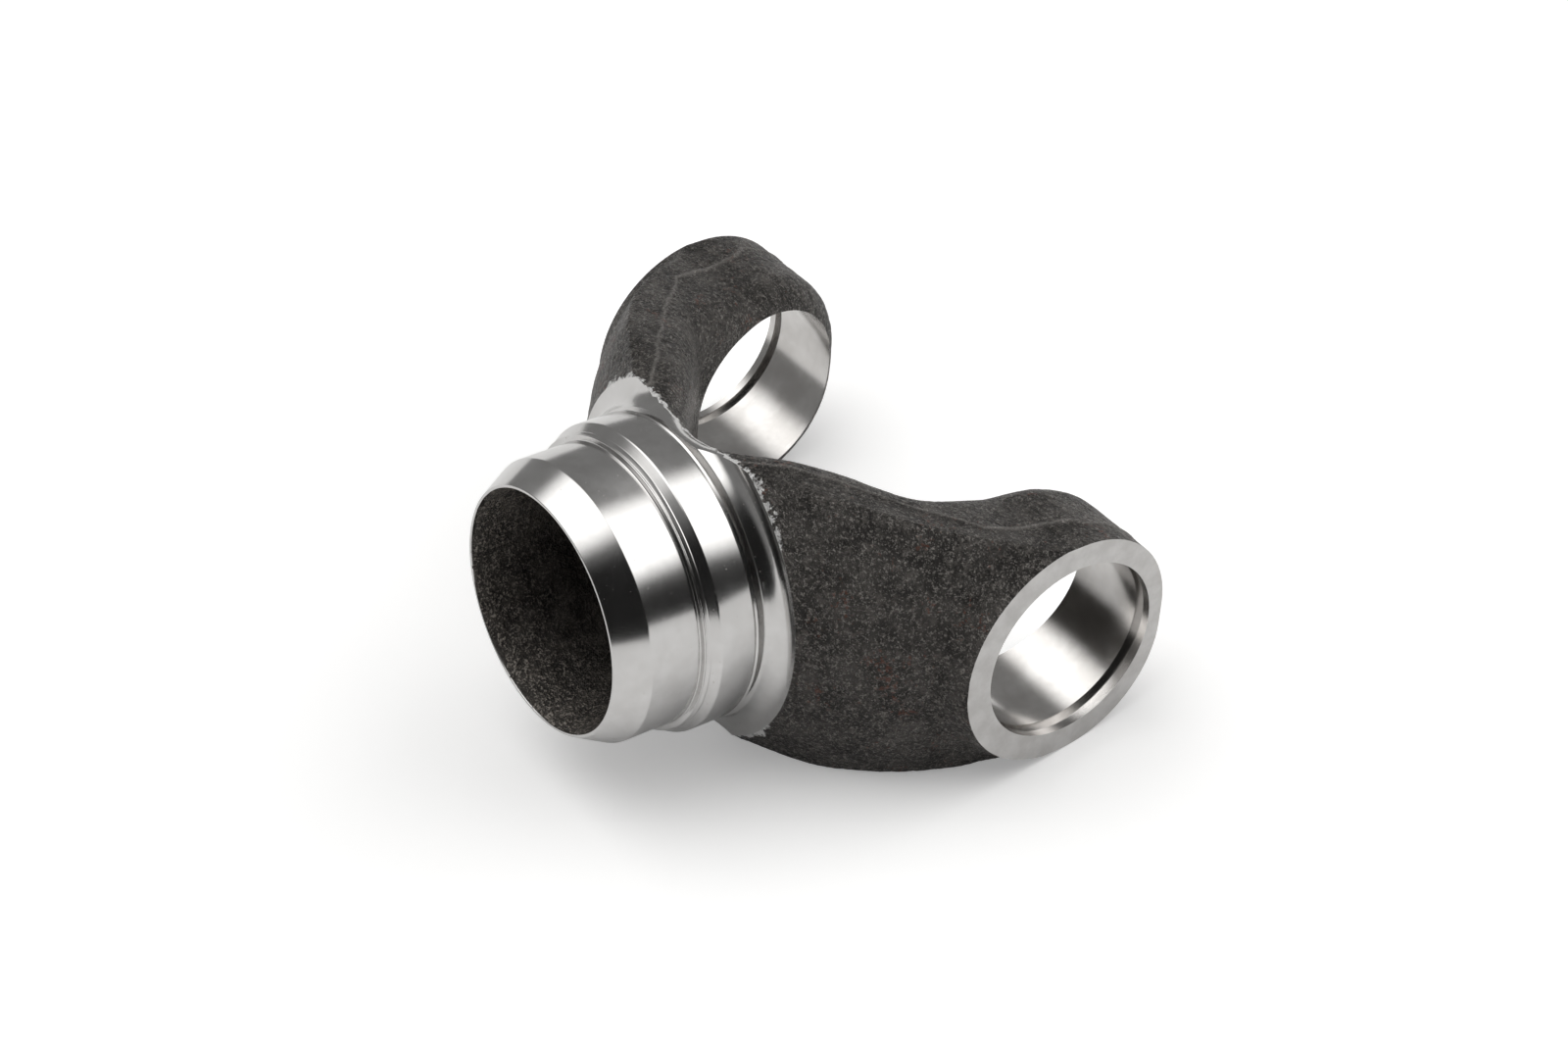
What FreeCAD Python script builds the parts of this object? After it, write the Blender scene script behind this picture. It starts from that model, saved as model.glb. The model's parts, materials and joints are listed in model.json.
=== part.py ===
"""Forged yoke for a driveshaft tube: one steel forging with machined hub, faces and cross bores.

Frame, in millimetres: the origin is where the axis of the cross bores meets the axis of the tube.
X runs along the cross bores, Z is up, and the ears point to +Y. The yoke lies on its side as it
comes to rest, on the bulge of its two arms and on the tips of its ears, so its hub end is raised.
It is modelled level, with the tube axis along Y, and leaned back to that rest at the end.

It is made in the order of the real part: the forging first, then what the lathe, the mill and
the boring bar take off it.
"""
import math
import os

import FreeCAD
import Part
from FreeCAD import Vector

# Cross bores, for bearing caps held by snap rings inside the ears
bore_radius = 13.5
ring_groove_span = 81.8        # between the inner walls of the two grooves
ring_groove_width = 1.5
ring_groove_depth = 0.9
face_span = 87.2               # between the milled outer faces of the ears

# Ears of the forging
ear_half_height = 17.1         # flat sides above and below the bore
ear_flat_start = -4.0          # where the flats turn out into the arms
ear_flat_round = 14.0
ear_tip_reach = 15.6           # from the bore axis to the tip
ear_tip_corner = 15.5
ear_face_radius = 17.3         # milled ring on the hub side
boss_draft = 20.0              # degrees, flank of the boss around the bore
boss_fillet = 4.0
crown_radius = 17.4            # tapered crown that trims the corners of the tip
crown_offset = 0.9             # its axis lies this far on the hub side of the bore axis
crown_draft = 32.0
crown_height = 4.3             # how far in from the milled face the crown reaches
ear_gap_half = 26.2            # inner face of an ear, at the bore axis
ear_gap_draft = 9.0            # degrees, the gap widens towards the tips

# Arms, collar and crotch of the forging
swing_radius = 45.8            # outside of the arms is part of this ball
swing_offset = 5.8             # its centre lies this far past the bore axis
body_half_height = 22.6
body_waist_end = -26.5         # where the arms start to narrow towards the ears
body_waist_round = 14.0
body_root_slope = 7.0          # degrees, the arms thin again towards the hub
collar_radius = 26.0           # forged collar behind the turned shoulder
collar_end = -31.8
collar_slope = 39.6            # degrees, from the collar out to the ball
collar_fillet = 2.5
crease_fillet = 5.0
crotch_floor = -30.4
crotch_slope = 38.5            # degrees, from the crotch floor out to the ears
crotch_floor_round = 10.0
crotch_shoulder_round = 6.0
inner_edge_round = 5.0

# Turned hub, along the tube axis
shoulder_face = -32.2          # end of turning, against the forged collar
shoulder_fillet = 3.2
hub_radius = 21.9
hub_front = -41.2
hub_line_depth = 0.15          # fine tool line where the shoulder fillet starts
hub_line_width = 0.6
step_radius = 20.9             # narrow step with a fine groove in front of the hub
step_length = 1.1
step_groove_depth = 0.45
step_groove_width = 0.8
seat_radius = 20.0             # seat for the tube
seat_length = 7.6
rim_radius = 17.65             # small end of the lead-in cone
rim_front = -55.4

# Forged pocket in the hub
pocket_radius = 16.9
pocket_depth = 21.0
pocket_draft = 5.0
pocket_floor_round = 7.0
pocket_lip = 1.2
pocket_lip_round = 2.0

margin = 5.0                   # how far cutting tools run past the metal


def rounded_outline(corners):
    """Closed wire through (point, radius) corners, each rounded by a tangent arc."""
    rounds = []
    for index, (corner, radius) in enumerate(corners):
        back = (corners[index - 1][0] - corner).normalize()
        ahead = (corners[(index + 1) % len(corners)][0] - corner).normalize()
        half_angle = back.getAngle(ahead) / 2
        reach = radius / math.tan(half_angle)
        crown = corner + (back + ahead).normalize() * (radius / math.sin(half_angle) - radius)
        rounds.append((corner + back * reach, crown, corner + ahead * reach, radius))
    edges = []
    for index, (start, crown, end, radius) in enumerate(rounds):
        if radius > 0:
            edges.append(Part.Arc(start, crown, end).toShape())
        following = rounds[(index + 1) % len(rounds)][0]
        edges.append(Part.LineSegment(end, following).toShape())
    return Part.Wire(edges)


def turned(corners):
    """Solid of revolution about the tube axis, from (radius, y, rounding) corners."""
    outline = rounded_outline([(Vector(r, y, 0), rounding) for r, y, rounding in corners])
    return Part.Face(outline).revolve(Vector(), Vector(0, 1, 0), 360)


def bar_along_x(radius, start, end):
    """Cylinder along the bore axis."""
    return Part.makeCylinder(radius, end - start, Vector(start, 0, 0), Vector(1, 0, 0))


def mirrored(shape):
    """The same shape on the other side of the tube axis."""
    return shape.mirror(Vector(), Vector(1, 0, 0))


def edges_between(shape, first, second):
    """Edges where a face of one kind of surface meets a face of another."""
    found = []
    for edge in shape.Edges:
        if edge.Degenerated:
            continue
        kinds = {type(face.Surface).__name__ for face in shape.ancestorsOfType(edge, Part.Face)}
        if kinds == {first, second}:
            found.append(edge)
    return found


def edges_on_both(shape, first, second):
    """Edges of the shape that lie on the skins of two tools."""
    found = []
    for edge in shape.Edges:
        if edge.Degenerated:
            continue
        middle = Part.Vertex(edge.valueAt((edge.FirstParameter + edge.LastParameter) / 2))
        if all(tool.Shells[0].distToShape(middle)[0] < 0.001 for tool in (first, second)):
            found.append(edge)
    return found


def ear_boss():
    """Drafted boss around the bore of the ear on the +X side."""
    face = face_span / 2
    spread = math.tan(math.radians(boss_draft))
    boss = Part.makeCone(
        ear_face_radius + (face - ear_gap_half) * spread, ear_face_radius - margin * spread,
        face + margin - ear_gap_half, Vector(ear_gap_half, 0, 0), Vector(1, 0, 0))
    boss.rotate(Vector(), Vector(1, 0, 0), -90)
    return boss


def crown_trim():
    """What the tapered crown takes off the corners of the ear's tip."""
    face = face_span / 2
    spread = math.tan(math.radians(crown_draft))
    wide = swing_radius + margin
    stock = Part.makeBox(
        crown_height + margin, wide, 2 * wide, Vector(face - crown_height, 0, -wide))
    crown = Part.makeCone(
        crown_radius + crown_height * spread, crown_radius - margin * spread,
        crown_height + margin, Vector(face - crown_height, -crown_offset, 0), Vector(1, 0, 0))
    return stock.cut(crown)


def outside_of_arm():
    """Outside of the arm on the +X side: a ball with the ear boss, drawn in to the collar."""
    wide = swing_radius + margin
    ball = Part.makeSphere(swing_radius)
    ball.rotate(Vector(), Vector(0, 0, 1), 180)
    ball.translate(Vector(0, swing_offset, 0))
    with_boss = ball.fuse(ear_boss())
    with_boss = with_boss.makeFillet(boss_fillet, edges_between(with_boss, "Sphere", "Cone"))
    back = rim_front - margin
    front = swing_offset + wide
    slope_end = collar_end + (wide - collar_radius) * math.tan(math.radians(collar_slope))
    bell = turned([
        (0, back, 0), (collar_radius, back, 0), (collar_radius, collar_end, collar_fillet),
        (wide, slope_end, 0), (wide, front, 0), (0, front, 0)])
    half_space = Part.makeBox(face_span / 2, front - back, 2 * wide, Vector(0, back, -wide))
    outside = with_boss.common(bell).common(half_space)
    return outside.makeFillet(crease_fillet, edges_between(outside, "Sphere", "Cone"))


def side_outline():
    """Shape of the forging seen along the bore axis, as a bar right through it."""
    reach = swing_radius + margin
    back = rim_front - margin
    root_drop = (body_waist_end - back) * math.tan(math.radians(body_root_slope))
    upper = [
        (Vector(-reach, ear_tip_reach, ear_half_height), ear_tip_corner),
        (Vector(-reach, ear_flat_start, ear_half_height), ear_flat_round),
        (Vector(-reach, body_waist_end, body_half_height), body_waist_round),
        (Vector(-reach, back, body_half_height - root_drop), 0)]
    lower = [(Vector(p.x, p.y, -p.z), rounding) for p, rounding in reversed(upper)]
    return Part.Face(rounded_outline(upper + lower)).extrude(Vector(2 * reach, 0, 0))


def rest_lean():
    """Angle in degrees that brings arms and ear tips down on one level: the outline's lower tangent."""
    rise = math.atan2(body_half_height - ear_half_height, ear_flat_start - body_waist_end)
    fall = math.radians(body_root_slope)
    middle = (rise - fall) / 2
    inset = body_waist_round / math.cos((rise + fall) / 2)
    bulge_y = body_waist_end - inset * math.sin(middle)
    bulge_z = body_half_height - inset * math.cos(middle)
    along = (ear_tip_reach - ear_tip_corner) - bulge_y
    above = bulge_z - (ear_half_height - ear_tip_corner)
    reach = math.hypot(along, above)
    lean = math.acos((ear_tip_corner - body_waist_round) / reach) - math.atan2(along, above)
    return math.degrees(lean)


def gap_between_ears():
    """Room for the cross: drafted ear faces, sloping shoulders and a rounded crotch."""
    high = body_half_height + margin
    front = ear_tip_reach + margin
    widening = math.tan(math.radians(ear_gap_draft))
    slope = math.radians(crotch_slope)
    apex = crotch_floor - crotch_floor_round * (1 / math.cos(slope) - 1)
    shoulder_x = (ear_gap_half + widening * apex) / (1 - widening * math.tan(slope))
    shoulder_y = apex + shoulder_x * math.tan(slope)
    right = [
        (Vector(shoulder_x, shoulder_y, -high), crotch_shoulder_round),
        (Vector(ear_gap_half + front * widening, front, -high), 0)]
    left = [(Vector(-p.x, p.y, p.z), rounding) for p, rounding in reversed(right)]
    outline = rounded_outline([(Vector(0, apex, -high), crotch_floor_round)] + right + left)
    return Part.Face(outline).extrude(Vector(0, 0, 2 * high))


def forging():
    """The whole forging, with stock left on the hub and no bores."""
    outline = side_outline()
    gap = gap_between_ears()
    blank = outline.cut(gap)
    blank = blank.makeFillet(inner_edge_round, edges_on_both(blank, gap, outline))
    arm = outside_of_arm().common(blank).cut(crown_trim())
    stub_end = shoulder_face - shoulder_fillet
    stub = Part.makeCylinder(
        collar_radius, stub_end + margin - rim_front, Vector(0, rim_front - margin, 0), Vector(0, 1, 0))
    return arm.fuse([mirrored(arm), stub])


def turnings():
    """What the lathe takes off: everything outside the hub's profile, up to the shoulder face."""
    wide = swing_radius + margin
    back = rim_front - margin
    step_front = hub_front - (hub_radius - step_radius) - step_length
    seat_front = step_front - seat_length
    groove_middle = step_front + step_length / 2
    line_end = shoulder_face - shoulder_fillet
    return turned([
        (0, back, 0),
        (0, rim_front, 0),
        (rim_radius, rim_front, 0),
        (seat_radius, seat_front, 0),
        (seat_radius, step_front, 0),
        (step_radius, step_front, 0),
        (step_radius, groove_middle - step_groove_width / 2, 0),
        (step_radius - step_groove_depth, groove_middle, 0),
        (step_radius, groove_middle + step_groove_width / 2, 0),
        (step_radius, step_front + step_length, 0),
        (hub_radius, hub_front, 0),
        (hub_radius, line_end - hub_line_width, 0),
        (hub_radius - hub_line_depth, line_end - hub_line_width / 2, 0),
        (hub_radius, line_end, 0),
        (hub_radius, shoulder_face, shoulder_fillet * 0.98),
        (wide, shoulder_face, 0),
        (wide, back, 0)])


def pocket():
    """Forged pocket in the hub, with draft, a rounded floor and a flared lip."""
    floor = rim_front + pocket_depth
    floor_radius = pocket_radius - pocket_depth * math.tan(math.radians(pocket_draft))
    mouth_radius = (rim_radius + pocket_radius) / 2
    return turned([
        (0, rim_front - margin, 0),
        (mouth_radius, rim_front - margin, 0),
        (mouth_radius, rim_front, 0),
        (pocket_radius, rim_front + pocket_lip, pocket_lip_round),
        (floor_radius, floor, pocket_floor_round),
        (0, floor, 0)])


def cross_bores():
    """Both bearing bores and their snap-ring grooves."""
    reach = face_span / 2 + margin
    groove_start = ring_groove_span / 2
    groove = bar_along_x(
        bore_radius + ring_groove_depth, groove_start, groove_start + ring_groove_width)
    return bar_along_x(bore_radius, -reach, reach).fuse([groove, mirrored(groove)])


def yoke():
    """Finished yoke, lying at rest."""
    machined = forging().cut(turnings()).cut(pocket()).cut(cross_bores()).removeSplitter()
    machined.rotate(Vector(), Vector(1, 0, 0), -rest_lean())
    return machined


os.makedirs("parts", exist_ok=True)
part = yoke()
part.exportStep("parts/yoke.step")
box = part.BoundBox
print("valid", part.isValid(), "solids", len(part.Solids), "volume", round(part.Volume))
print("leaned back by", round(rest_lean(), 3), "degrees")
print("box", [round(v, 2) for v in (box.XMin, box.XMax, box.YMin, box.YMax, box.ZMin, box.ZMax)])
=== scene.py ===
"""Looks of a forged yoke: dark scaled forging, turned hub, milled ear faces and honed bores."""
import json
import math

import bmesh
import bpy
import numpy as np
from mathutils import Matrix, Vector, noise


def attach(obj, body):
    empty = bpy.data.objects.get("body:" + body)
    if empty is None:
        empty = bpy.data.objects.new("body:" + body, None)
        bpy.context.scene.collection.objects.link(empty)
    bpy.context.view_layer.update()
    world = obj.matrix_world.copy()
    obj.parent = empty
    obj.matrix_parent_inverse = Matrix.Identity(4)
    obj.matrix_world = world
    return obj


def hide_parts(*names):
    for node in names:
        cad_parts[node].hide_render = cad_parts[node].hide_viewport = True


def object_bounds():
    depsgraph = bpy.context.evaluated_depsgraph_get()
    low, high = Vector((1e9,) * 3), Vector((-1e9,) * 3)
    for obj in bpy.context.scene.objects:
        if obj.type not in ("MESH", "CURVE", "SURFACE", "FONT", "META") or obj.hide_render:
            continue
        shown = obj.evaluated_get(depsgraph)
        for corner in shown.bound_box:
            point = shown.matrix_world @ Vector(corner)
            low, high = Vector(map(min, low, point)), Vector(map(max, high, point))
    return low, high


MM = 0.001

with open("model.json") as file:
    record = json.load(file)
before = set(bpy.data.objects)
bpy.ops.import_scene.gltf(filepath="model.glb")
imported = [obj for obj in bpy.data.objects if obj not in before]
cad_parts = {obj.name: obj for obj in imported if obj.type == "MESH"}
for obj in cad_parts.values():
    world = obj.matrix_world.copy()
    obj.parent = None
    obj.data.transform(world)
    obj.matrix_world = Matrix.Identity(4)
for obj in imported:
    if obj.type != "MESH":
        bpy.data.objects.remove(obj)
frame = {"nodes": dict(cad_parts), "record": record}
cad_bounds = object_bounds()
record = frame["record"]
seat_axis = next(m["axis"] for m in record["mounts"] if m["name"] == "tube_seat")
LEAN = math.atan2(seat_axis[2], -seat_axis[1])
LYING = Matrix.Rotation(-LEAN, 4, "X")          # from the level yoke to the yoke at rest

# ---------------------------------------------------------------- sizes, in mm, on the level yoke
EAR_FACE = 43.6
BORE_RADIUS = 13.5
GROOVE_RADIUS = 14.4
SHOULDER_FACE = -32.2
HUB_LINE = -36.0
POCKET_MOUTH = 17.3
RIM = -55.4

FACE_SLACK = 0.01           # a corner this near a face lies on it
WALL_SLACK = 0.02           # a corner this near a bored wall lies on it
EAR_INSIDE = 20.0           # the bores lie further out than this

# ---------------------------------------------------------------- how finely the skins are made
SKIN_EDGE = 0.5             # longest edge of the forged skin, mm
SPLIT_ROUNDS = 9
FLAT_ANGLE = 0.12           # radians between faces that may swap their edge
SOFTEN_ROUNDS = 2
SOFTEN_PULL = 0.5
FADE_ROUNDS = 10            # how far from the rim the relief has fully grown, in edges
FADE_SHARE = 0.82
HUB_STEPS = 384
POCKET_STEPS = 300
POCKET_SPACING = 0.45       # mm between the pocket's rings

# Line left by the trimmed flash, as (y, distance from the middle)
FLASH_LINE = [
    (-31.6, 10.6), (-27.4, 15.0), (-25.3, 18.0), (-20.9, 23.3), (-16.5, 28.6), (-12.1, 32.6),
    (-10.2, 35.2), (-5.7, 36.4), (-1.7, 36.9), (2.2, 37.9), (4.1, 39.3), (16.0, 40.2)]


# ---------------------------------------------------------------- reading the solid
def read_solid(node):
    """Welded corners in mm on the level yoke, and the triangles."""
    mesh = frame["nodes"][node].data
    corners = np.empty(len(mesh.vertices) * 3)
    mesh.vertices.foreach_get("co", corners)
    corners = corners.reshape(-1, 3)
    cos, sin = math.cos(LEAN), math.sin(LEAN)
    level = np.stack([
        corners[:, 0],
        corners[:, 1] * cos - corners[:, 2] * sin,
        corners[:, 1] * sin + corners[:, 2] * cos], 1) / MM
    picks = np.empty(len(mesh.loops), int)
    mesh.loops.foreach_get("vertex_index", picks)
    keys, first, back = np.unique(
        np.round(level, 3), axis=0, return_index=True, return_inverse=True)
    triangles = back.reshape(-1)[picks].reshape(-1, 3)
    whole = (triangles[:, 0] != triangles[:, 1]) & (triangles[:, 1] != triangles[:, 2])
    whole &= triangles[:, 0] != triangles[:, 2]
    return level[first], triangles[whole]


def sort_triangles(points, triangles):
    """Masks that share the skin out between the finishes."""
    x = np.abs(points[triangles][:, :, 0])
    y = points[triangles][:, :, 1]
    z = points[triangles][:, :, 2]
    from_tube_axis = np.hypot(x, z)
    from_bore_axis = np.hypot(y, z)
    ear_face = (x > EAR_FACE - FACE_SLACK).all(1)
    on_wall = np.abs(from_bore_axis - BORE_RADIUS) < WALL_SLACK
    on_groove = np.abs(from_bore_axis - GROOVE_RADIUS) < WALL_SLACK
    bore = (on_wall | on_groove).all(1) & (x > EAR_INSIDE).all(1) & ~ear_face
    pocket = (from_tube_axis < POCKET_MOUTH).all(1) & (y < SHOULDER_FACE - 1).all(1)
    turned = (y < SHOULDER_FACE + FACE_SLACK).all(1) & ~pocket
    shoulder = turned & (y > HUB_LINE - FACE_SLACK).all(1)
    forged = ~(ear_face | bore | pocket | turned)
    return {"ear_face": ear_face, "bore": bore, "shoulder": shoulder, "forged": forged}


def piece(name, points, faces, finish, smooth_under=25.0):
    """A new object at rest on the floor, from level points in mm."""
    mesh = bpy.data.meshes.new(name)
    cos, sin = math.cos(LEAN), math.sin(LEAN)
    level = np.asarray(points) * MM
    lying = np.stack([
        level[:, 0],
        level[:, 1] * cos + level[:, 2] * sin,
        level[:, 2] * cos - level[:, 1] * sin], 1)
    lying = np.clip(lying, np.array(cad_bounds[0]), np.array(cad_bounds[1]))
    mesh.from_pydata(lying.tolist(), [], [list(map(int, f)) for f in faces])
    mesh.validate()
    mesh.update()
    built = bpy.data.objects.new(name, mesh)
    bpy.context.scene.collection.objects.link(built)
    mesh.materials.append(finish)
    mesh.polygons.foreach_set("use_smooth", [True] * len(mesh.polygons))
    if smooth_under < 180:
        mesh.set_sharp_from_angle(angle=math.radians(smooth_under))
    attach(built, "root")
    return built


def cut_out(points, triangles, mask):
    """Points and faces of one share of the skin."""
    used, faces = np.unique(triangles[mask], return_inverse=True)
    return points[used], faces.reshape(-1, 3)


# ---------------------------------------------------------------- forged skin
def refined(points, faces, longest):
    """The same skin with every edge split until it is short."""
    bm = bmesh.new()
    made = [bm.verts.new(p) for p in points]
    for face in faces:
        bm.faces.new([made[i] for i in face])
    bm.verts.ensure_lookup_table()
    for _ in range(SPLIT_ROUNDS):
        long_edges = [e for e in bm.edges if e.calc_length() > longest]
        if not long_edges:
            break
        bmesh.ops.subdivide_edges(bm, edges=long_edges, cuts=1, use_grid_fill=False)
        bmesh.ops.triangulate(bm, faces=[f for f in bm.faces if len(f.verts) > 3])
        inner = [e for e in bm.edges if not e.is_boundary and e.is_manifold]
        flat = [e for e in inner if e.calc_face_angle(0) < FLAT_ANGLE]
        bmesh.ops.beautify_fill(bm, faces=bm.faces[:], edges=flat)
    bm.verts.index_update()
    new_points = np.array([v.co[:] for v in bm.verts])
    new_faces = np.array([[v.index for v in f.verts] for f in bm.faces])
    edges = np.array([[v.index for v in e.verts] for e in bm.edges])
    rim = np.zeros(len(new_points), bool)
    for edge in bm.edges:
        if edge.is_boundary:
            rim[edge.verts[0].index] = True
            rim[edge.verts[1].index] = True
    bm.free()
    return new_points, new_faces, edges, rim


def relaxed(points, edges, rim, rounds, pull):
    """Corners softened a little, with the outer rim held."""
    count = np.bincount(edges.ravel(), minlength=len(points)).astype(float)
    for _ in range(rounds):
        total = np.zeros_like(points)
        np.add.at(total, edges[:, 0], points[edges[:, 1]])
        np.add.at(total, edges[:, 1], points[edges[:, 0]])
        moved = points + pull * (total / count[:, None] - points)
        moved[rim] = points[rim]
        points = moved
    return points


def outward(points, faces):
    """Unit normals at the points."""
    corner = points[faces]
    across = np.cross(corner[:, 1] - corner[:, 0], corner[:, 2] - corner[:, 0])
    total = np.zeros_like(points)
    for k in range(3):
        np.add.at(total, faces[:, k], across)
    return total / np.maximum(np.linalg.norm(total, axis=1, keepdims=True), 1e-12)


def grain(points, size, seed):
    """Smooth noise in -1..1 at each point, for lumps of about this size in mm."""
    shift = Vector((seed * 17.3, seed * 5.1, seed * 9.7))
    return np.array([noise.noise(Vector(p) / size + shift) for p in points])


def forged_relief(points, faces):
    """Height of the forging's surface over its plain form, in mm."""
    normals = outward(points, faces)
    x = np.abs(points[:, 0])
    y = points[:, 1]
    line = np.interp(y, [p[0] for p in FLASH_LINE], [p[1] for p in FLASH_LINE])
    wander = grain(points, 2.5, 7) * 0.35
    off_line = np.abs(x - line + wander)
    on_line = np.exp(-(off_line / 0.32) ** 2) * np.clip(1 - np.abs(normals[:, 0]) * 1.15, 0, 1)
    broad = grain(points, 9.0, 1) * 0.16
    lumps = grain(points, 2.6, 2) * 0.075
    pits = -np.clip(grain(points, 1.1, 3) - 0.12, 0, 1) * 0.16
    fine = grain(points, 0.55, 4) * 0.03
    return broad + lumps + pits + fine + on_line * 0.22, normals, on_line


def forged_skin(points, faces, finish, longest):
    """The forging's dark skin, with lumps, pits and the line of the trimmed flash."""
    points, faces, edges, rim = refined(points, faces, longest)
    points = relaxed(points, edges, rim, SOFTEN_ROUNDS, SOFTEN_PULL)
    height, normals, on_line = forged_relief(points, faces)
    near_rim = rim.astype(float)
    for _ in range(FADE_ROUNDS):
        spread = near_rim.copy()
        np.maximum.at(spread, edges[:, 0], near_rim[edges[:, 1]] * FADE_SHARE)
        np.maximum.at(spread, edges[:, 1], near_rim[edges[:, 0]] * FADE_SHARE)
        near_rim = spread
    points = points + normals * (height * (1 - near_rim))[:, None]
    skin = piece("forged_skin", points, faces, finish, 180)
    mark = skin.data.attributes.new("flash", "FLOAT", "POINT")
    mark.data.foreach_set("value", on_line)
    return skin


# ---------------------------------------------------------------- turned hub
def eased(corners):
    """Outline through (radius, y, easing) corners, each corner rounded a little."""
    line = []
    for i, (radius, y, ease) in enumerate(corners):
        here = Vector((radius, y))
        if i in (0, len(corners) - 1) or not ease:
            line.append(here)
            continue
        back = (Vector(corners[i - 1][:2]) - here).normalized()
        ahead = (Vector(corners[i + 1][:2]) - here).normalized()
        for t in (0, 0.25, 0.5, 0.75, 1):
            line.append(here + back * ease * (1 - t) ** 2 + ahead * ease * t ** 2)
    return line


def lathe(name, line, steps, finish, height=None):
    """A turned skin about the tube axis; height moves each point in or out, in mm."""
    angles = np.linspace(0, 2 * math.pi, steps, endpoint=False)
    rings = []
    for radius, y in line:
        ring = np.stack([radius * np.cos(angles), np.full(steps, y), radius * np.sin(angles)], 1)
        rings.append(ring)
    points = np.concatenate(rings)
    faces = []
    for i in range(len(line) - 1):
        for k in range(steps):
            j = (k + 1) % steps
            faces.append((i * steps + k, i * steps + j, (i + 1) * steps + j, (i + 1) * steps + k))
    if height is not None:
        points = height(points)
    return piece(name, points, faces, finish, 35)


def hub_line():
    """Outline of the turned hub from the rim to the tool line before the shoulder."""
    return eased([
        (17.15, -54.6, 0), (17.25, RIM, 0.12), (17.65, RIM, 0.1), (20.0, -50.9, 0.15),
        (20.0, -43.3, 0.18), (20.9, -43.3, 0.12), (20.9, -43.15, 0), (20.45, -42.75, 0.12),
        (20.9, -42.35, 0), (20.9, -42.2, 0.05), (21.9, -41.2, 0.2), (21.9, HUB_LINE, 0.08),
        (21.72, -35.6, 0)])


def pocket_line():
    """Outline of the forged pocket from the rim down to the middle of its floor."""
    corners = [(17.35, RIM + 0.02, 0), (16.9, -54.2, 0.9), (15.06, -34.4, 7.0), (0.05, -34.4, 0)]
    coarse = eased(corners)
    line = []
    for a, b in zip(coarse, coarse[1:]):
        pieces = max(1, int((b - a).length / POCKET_SPACING))
        for k in range(pieces):
            line.append(a.lerp(b, k / pieces))
    line.append(coarse[-1])
    return line


def pocket_relief(points):
    """Rough forged wall of the pocket."""
    radius = np.hypot(points[:, 0], points[:, 2])
    inward = np.stack([-points[:, 0] / radius, np.zeros(len(points)), -points[:, 2] / radius], 1)
    depth = np.clip((points[:, 1] - RIM) / 0.6, 0, 1)
    rough = grain(points, 2.4, 11) * 0.12 + grain(points, 0.9, 12) * 0.09
    rough = rough + grain(points, 6, 13) * 0.15
    edge = (grain(points, 0.8, 14) * 0.12 + 0.05) * (1 - depth)
    return points + inward * (rough * depth + edge)[:, None]


# ---------------------------------------------------------------- shader tools
class Value:
    """A number in a shader, with the operators that add its Math nodes."""

    def __init__(self, tree, socket):
        self.tree = tree
        self.socket = socket

    def _math(self, operation, *terms):
        maths = self.tree.nodes.new("ShaderNodeMath")
        maths.operation = operation
        for slot, term in zip(maths.inputs, terms):
            if isinstance(term, Value):
                self.tree.links.new(term.socket, slot)
            else:
                slot.default_value = term
        return Value(self.tree, maths.outputs[0])

    def __add__(self, other):
        return self._math("ADD", self, other)

    def __radd__(self, other):
        return self._math("ADD", other, self)

    def __sub__(self, other):
        return self._math("SUBTRACT", self, other)

    def __rsub__(self, other):
        return self._math("SUBTRACT", other, self)

    def __mul__(self, other):
        return self._math("MULTIPLY", self, other)

    def __rmul__(self, other):
        return self._math("MULTIPLY", other, self)

    def lowest(self, other):
        return self._math("MINIMUM", self, other)

    def highest(self, other):
        return self._math("MAXIMUM", self, other)

    def size(self):
        return self._math("ABSOLUTE", self)

    def between(self, low, high):
        """0 below low and 1 above high, with a soft step."""
        ramp = self.tree.nodes.new("ShaderNodeMapRange")
        ramp.interpolation_type = "SMOOTHSTEP"
        ramp.inputs["From Min"].default_value = low
        ramp.inputs["From Max"].default_value = high
        self.tree.links.new(self.socket, ramp.inputs["Value"])
        return Value(self.tree, ramp.outputs["Result"])


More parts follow.
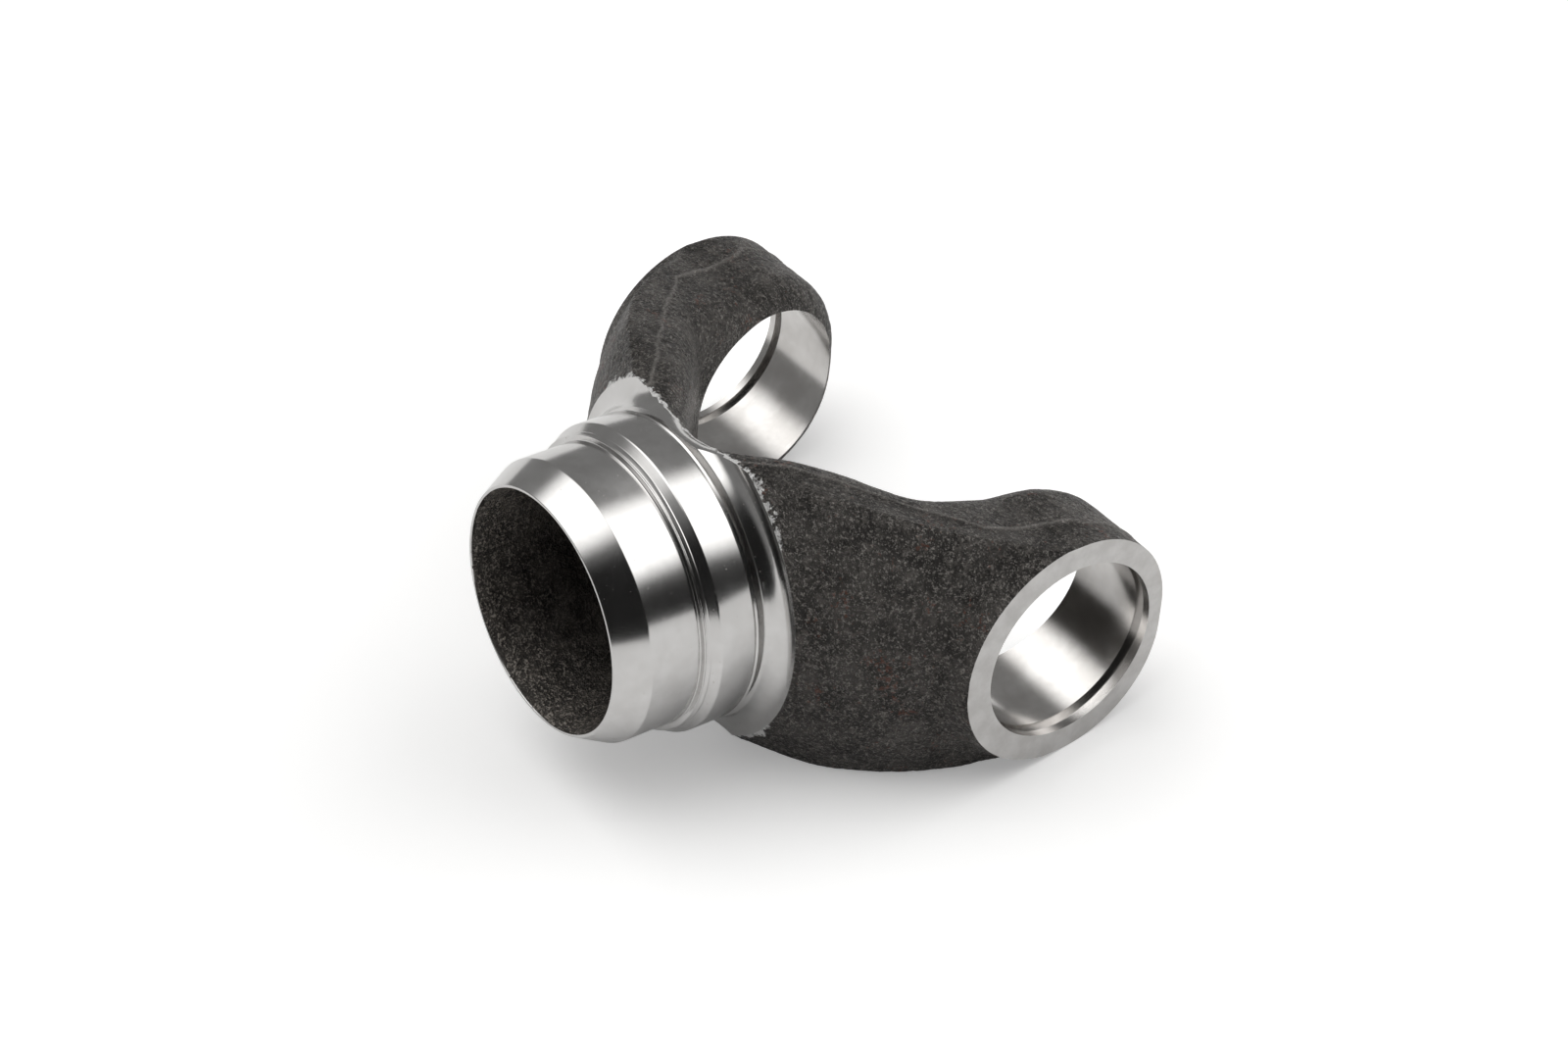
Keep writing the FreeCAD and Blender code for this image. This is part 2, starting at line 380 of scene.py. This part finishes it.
class Finish:
    """A material, a world or a light made of nodes."""

    def __init__(self, name, tree=None):
        if tree is None:
            self.material = bpy.data.materials.new(name)
            self.material.use_nodes = True
            tree = self.material.node_tree
        self.tree = tree
        tree.nodes.clear()

    def add(self, kind, settings=None, **inputs):
        """One node of this type, with its settings first and then its inputs."""
        made = self.tree.nodes.new(kind)
        for key, setting in (settings or {}).items():
            setattr(made, key, setting)
        for key, given in inputs.items():
            slot = int(key[1:]) if key[0] == "_" else key.replace("_", " ")
            self.plug(made.inputs[slot], given)
        return made

    def plug(self, slot, given):
        if isinstance(given, Value):
            given = given.socket
        if isinstance(given, bpy.types.NodeSocket):
            self.tree.links.new(given, slot)
        else:
            slot.default_value = given

    def value(self, socket):
        return Value(self.tree, socket)

    def place(self):
        """Where a point is, in mm on the level yoke: the vector and its three parts."""
        spot = self.add("ShaderNodeTexCoord").outputs["Object"]
        scaled = self.add("ShaderNodeVectorMath", {"operation": "SCALE"}, _0=spot, Scale=1 / MM)
        level = self.add(
            "ShaderNodeVectorRotate", {"rotation_type": "X_AXIS"},
            Vector=scaled.outputs[0], Angle=LEAN)
        parts = self.add("ShaderNodeSeparateXYZ", _0=level.outputs[0])
        return level.outputs[0], [self.value(parts.outputs[k]) for k in range(3)]

    def noise(self, where, per_mm, detail, roughness):
        made = self.add(
            "ShaderNodeTexNoise", Vector=where, Scale=per_mm, Detail=detail, Roughness=roughness)
        return self.value(made.outputs[0])

    def blend(self, share, first, second):
        """A colour between two others."""
        made = self.add("ShaderNodeMix", {"data_type": "RGBA"}, _0=share, _6=first, _7=second)
        return made.outputs[2]

    def bump(self, height, strength, distance, normal=None):
        """A normal from a height, with the distance in mm."""
        made = self.add("ShaderNodeBump", Height=height, Strength=strength, Distance=distance * MM)
        if normal is not None:
            self.plug(made.inputs["Normal"], normal)
        return made.outputs[0]

    def surface(self, **inputs):
        shader = self.add("ShaderNodeBsdfPrincipled", **inputs)
        end = self.add("ShaderNodeOutputMaterial")
        self.tree.links.new(shader.outputs[0], end.inputs["Surface"])
        return self.material


def grey(level, warm=0.0):
    return (level * (1 + warm), level, level * (1 - warm), 1.0)


# ---------------------------------------------------------------- finishes
def scaled_forging():
    """Dark furnace scale with bright specks, and a torn bright edge at the shoulder."""
    f = Finish("forging scale")
    where, (_, y, z) = f.place()
    clouds = f.noise(where, 0.18, 4, 0.6)
    patches = f.noise(where, 0.75, 3, 0.65)
    grains = f.noise(where, 1.9, 2, 0.7)
    fine = f.noise(where, 4.2, 2, 0.6)
    flash = f.value(f.add("ShaderNodeAttribute", {"attribute_name": "flash"}).outputs["Fac"])
    dark = f.blend(clouds.between(0.38, 0.66), grey(0.030, 0.07), grey(0.075, 0.07))
    mottled = f.blend(patches.between(0.48, 0.68) * 0.6, dark, grey(0.135, 0.08))
    specks = (grains * 0.5 + fine * 0.5).between(0.50, 0.63)
    speckled = f.blend(specks * 0.6, mottled, grey(0.36, 0.06))
    lined = f.blend(flash * 0.45, speckled, grey(0.42, 0.05))
    torn = f.noise(where, 0.9, 4, 0.7)
    top = z.size().between(13.0, 18.0)
    edge = 1 - (y - SHOULDER_FACE - (torn - 0.42) * 4.2 * top + 0.1).between(-0.12, 0.2)
    rust_spots = (f.noise(where, 0.16, 3, 0.6) * f.noise(where, 1.5, 2, 0.6)).between(0.36, 0.42)
    rusty = f.blend(rust_spots * 0.5, lined, (0.16, 0.05, 0.03, 1))
    colour = f.blend(edge, rusty, grey(0.85, 0.005))
    relief = f.bump(grains * 0.5 + fine * 0.5, 1.0, 0.9)
    relief = f.bump(patches, 1.0, 1.1, relief)
    return f.surface(
        Base_Color=colour, Metallic=(0.7 + specks * 0.3 - edge * 0.3).lowest(1.0),
        Roughness=0.42 - specks * 0.1 + patches * 0.08 + edge * 0.1, Normal=relief)


def turned_steel():
    """Bright lathe-turned steel, with fine rings and small marks."""
    f = Finish("turned steel")
    where, (_, y, _) = f.place()
    rings = f.add("ShaderNodeCombineXYZ", _0=0.0, _1=y, _2=0.0).outputs[0]
    coarse = f.noise(rings, 2.2, 3, 0.7)
    fine = f.noise(rings, 9.0, 2, 0.6)
    smear = f.noise(where, 0.25, 3, 0.6)
    marks = f.noise(where, 2.6, 2, 0.5).between(0.73, 0.78)
    colour = f.blend(smear.between(0.3, 0.75), grey(0.56, 0.015), grey(0.63, 0.01))
    colour = f.blend(marks * 0.5, colour, (0.16, 0.11, 0.08, 1))
    relief = f.bump(coarse * 0.5 + fine * 0.5, 0.10, 0.05)
    return f.surface(
        Base_Color=colour, Metallic=1.0, Roughness=0.13 + smear * 0.07 + marks * 0.3, Normal=relief)


def milled_steel():
    """Even grey steel of the milled ear faces."""
    f = Finish("milled steel")
    where, _ = f.place()
    cuts = f.noise(where, 3.5, 3, 0.6)
    smear = f.noise(where, 0.35, 3, 0.6)
    colour = f.blend(smear.between(0.3, 0.7), grey(0.50, 0.02), grey(0.60, 0.015))
    relief = f.bump(cuts, 0.12, 0.05)
    return f.surface(Base_Color=colour, Metallic=1.0, Roughness=0.36 + smear * 0.08, Normal=relief)


def honed_steel():
    """Bored and honed steel, with fine rings about the bore axis."""
    f = Finish("honed steel")
    where, (x, y, z) = f.place()
    rings = f.add("ShaderNodeCombineXYZ", _0=x, _1=y * 0.05, _2=z * 0.05).outputs[0]
    hone = f.noise(rings, 5.0, 3, 0.7)
    smear = f.noise(where, 0.2, 3, 0.6)
    colour = f.blend(smear.between(0.3, 0.75), grey(0.52, 0.03), grey(0.64, 0.02))
    relief = f.bump(hone, 0.10, 0.05)
    return f.surface(Base_Color=colour, Metallic=1.0, Roughness=0.16 + smear * 0.06, Normal=relief)


def pocket_scale():
    """Coarse dark scale in the pocket, speckled, with painted shade that dims the specks deeper in
    from the mouth.
    """
    f = Finish("pocket scale")
    where, (_, y, _) = f.place()
    clouds = f.noise(where, 0.35, 4, 0.6)
    grains = f.noise(where, 1.5, 3, 0.7)
    fine = f.noise(where, 3.6, 2, 0.6)
    # painted shade: the bright specks fade to a quarter of their strength deeper in the pocket, away
    # from the mouth
    painted_depth_shade = 1 - y.between(RIM + 2, RIM + 15) * 0.75
    dark = f.blend(clouds.between(0.35, 0.7), grey(0.025, 0.12), grey(0.09, 0.12))
    specks = (grains * 0.5 + fine * 0.5).between(0.49, 0.62)
    colour = f.blend(specks * painted_depth_shade, dark, grey(0.42, 0.1))
    relief = f.bump(grains * 0.6 + fine * 0.4, 1.0, 0.6)
    return f.surface(
        Base_Color=colour, Metallic=specks * 0.4 + 0.4, Roughness=0.5 - specks * 0.12, Normal=relief)


# ---------------------------------------------------------------- building it
points, triangles = read_solid("yoke")
shares = sort_triangles(points, triangles)
turned = turned_steel()
scale = scaled_forging()

yoke_skin = forged_skin(
    *cut_out(points, triangles, shares["forged"]), scale,
    SKIN_EDGE)
lathe("turned_hub", hub_line(), HUB_STEPS, turned)
piece("turned_shoulder", *cut_out(points, triangles, shares["shoulder"]), turned)
piece("milled_ear_faces", *cut_out(points, triangles, shares["ear_face"]), milled_steel())
piece("honed_bores", *cut_out(points, triangles, shares["bore"]), honed_steel())
lathe("forged_pocket", pocket_line(), POCKET_STEPS, pocket_scale(), pocket_relief)
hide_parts("yoke")

# ---------------------------------------------------------------- floor
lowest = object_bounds()[0][2]
floor_mesh = bpy.data.meshes.new("floor")
wide = 1.5
floor_mesh.from_pydata(
    [(-wide, -wide, 0), (wide, -wide, 0), (wide, wide, 0), (-wide, wide, 0)], [], [(0, 1, 2, 3)])
floor = bpy.data.objects.new("floor", floor_mesh)
floor.location.z = lowest
bpy.context.scene.collection.objects.link(floor)


def floor_white():
    """Matt white floor that stays white to the camera and keeps the shadow."""
    f = Finish("floor white")
    path = f.add("ShaderNodeLightPath")
    seen = f.value(path.outputs["Is Camera Ray"]) + f.value(path.outputs["Is Glossy Ray"]) * 0.3
    matt = f.add("ShaderNodeBsdfDiffuse", Color=(0.9, 0.9, 0.9, 1))
    glow = f.add("ShaderNodeEmission", Color=(1, 1, 1, 1), Strength=seen * 0.30)
    both = f.add("ShaderNodeAddShader", _0=matt.outputs[0], _1=glow.outputs[0])
    end = f.add("ShaderNodeOutputMaterial")
    f.tree.links.new(both.outputs[0], end.inputs["Surface"])
    return f.material


floor_mesh.materials.append(floor_white())


# ---------------------------------------------------------------- light
def toward(azimuth, elevation):
    """Unit vector for a direction given in degrees."""
    a, e = math.radians(azimuth), math.radians(elevation)
    return math.cos(a) * math.cos(e), math.sin(a) * math.cos(e), math.sin(e)


def room_light():
    """Two big soft boxes overhead in a grey room that is dark behind the camera."""
    world = bpy.data.worlds.new("studio")
    world.use_nodes = True
    bpy.context.scene.world = world
    f = Finish("studio", world.node_tree)
    ray = f.add("ShaderNodeTexCoord").outputs["Generated"]

    def glow(azimuth, elevation, inner, outer):
        """1 inside this many degrees of a direction, 0 outside that many."""
        aim = LYING.to_3x3() @ Vector(toward(azimuth, elevation))
        dot = f.add("ShaderNodeVectorMath", {"operation": "DOT_PRODUCT"}, _0=ray, _1=tuple(aim))
        near = f.value(dot.outputs["Value"])
        return near.between(math.cos(math.radians(outer)), math.cos(math.radians(inner)))

    back_box = glow(58, 54, 12, 34)
    side_box = glow(-140, 66, 14, 40)
    dark = glow(-30, 12, 34, 58)
    low_dark = glow(22, -2, 18, 42)
    room = 0.24 * (1 - dark * 0.97) * (1 - low_dark * 0.85)
    level = (room + back_box * 2.0 + side_box * 1.9).highest(0.015)
    back = f.add("ShaderNodeBackground", Color=(1, 0.995, 0.985, 1), Strength=level)
    end = f.add("ShaderNodeOutputWorld")
    f.tree.links.new(back.outputs[0], end.inputs["Surface"])


room_light()

# ---------------------------------------------------------------- camera
camera_data = bpy.data.cameras.new("camera")
camera_data.sensor_width = 36.0
camera_data.lens = 83.72
camera = bpy.data.objects.new("camera", camera_data)
bpy.context.scene.collection.objects.link(camera)
backward = Vector((0.637, -0.500, 0.587)).normalized()
sideways = Vector((0.583, 0.810, 0.057))
right = (sideways - backward * sideways.dot(backward)).normalized()
up = backward.cross(right)
seat = Matrix((right, up, backward)).transposed().to_4x4()
seat.translation = Vector((0.3205, -0.2670, 0.2948))
camera.matrix_world = LYING @ seat
bpy.context.scene.camera = camera
bpy.context.scene.view_settings.view_transform = "Standard"
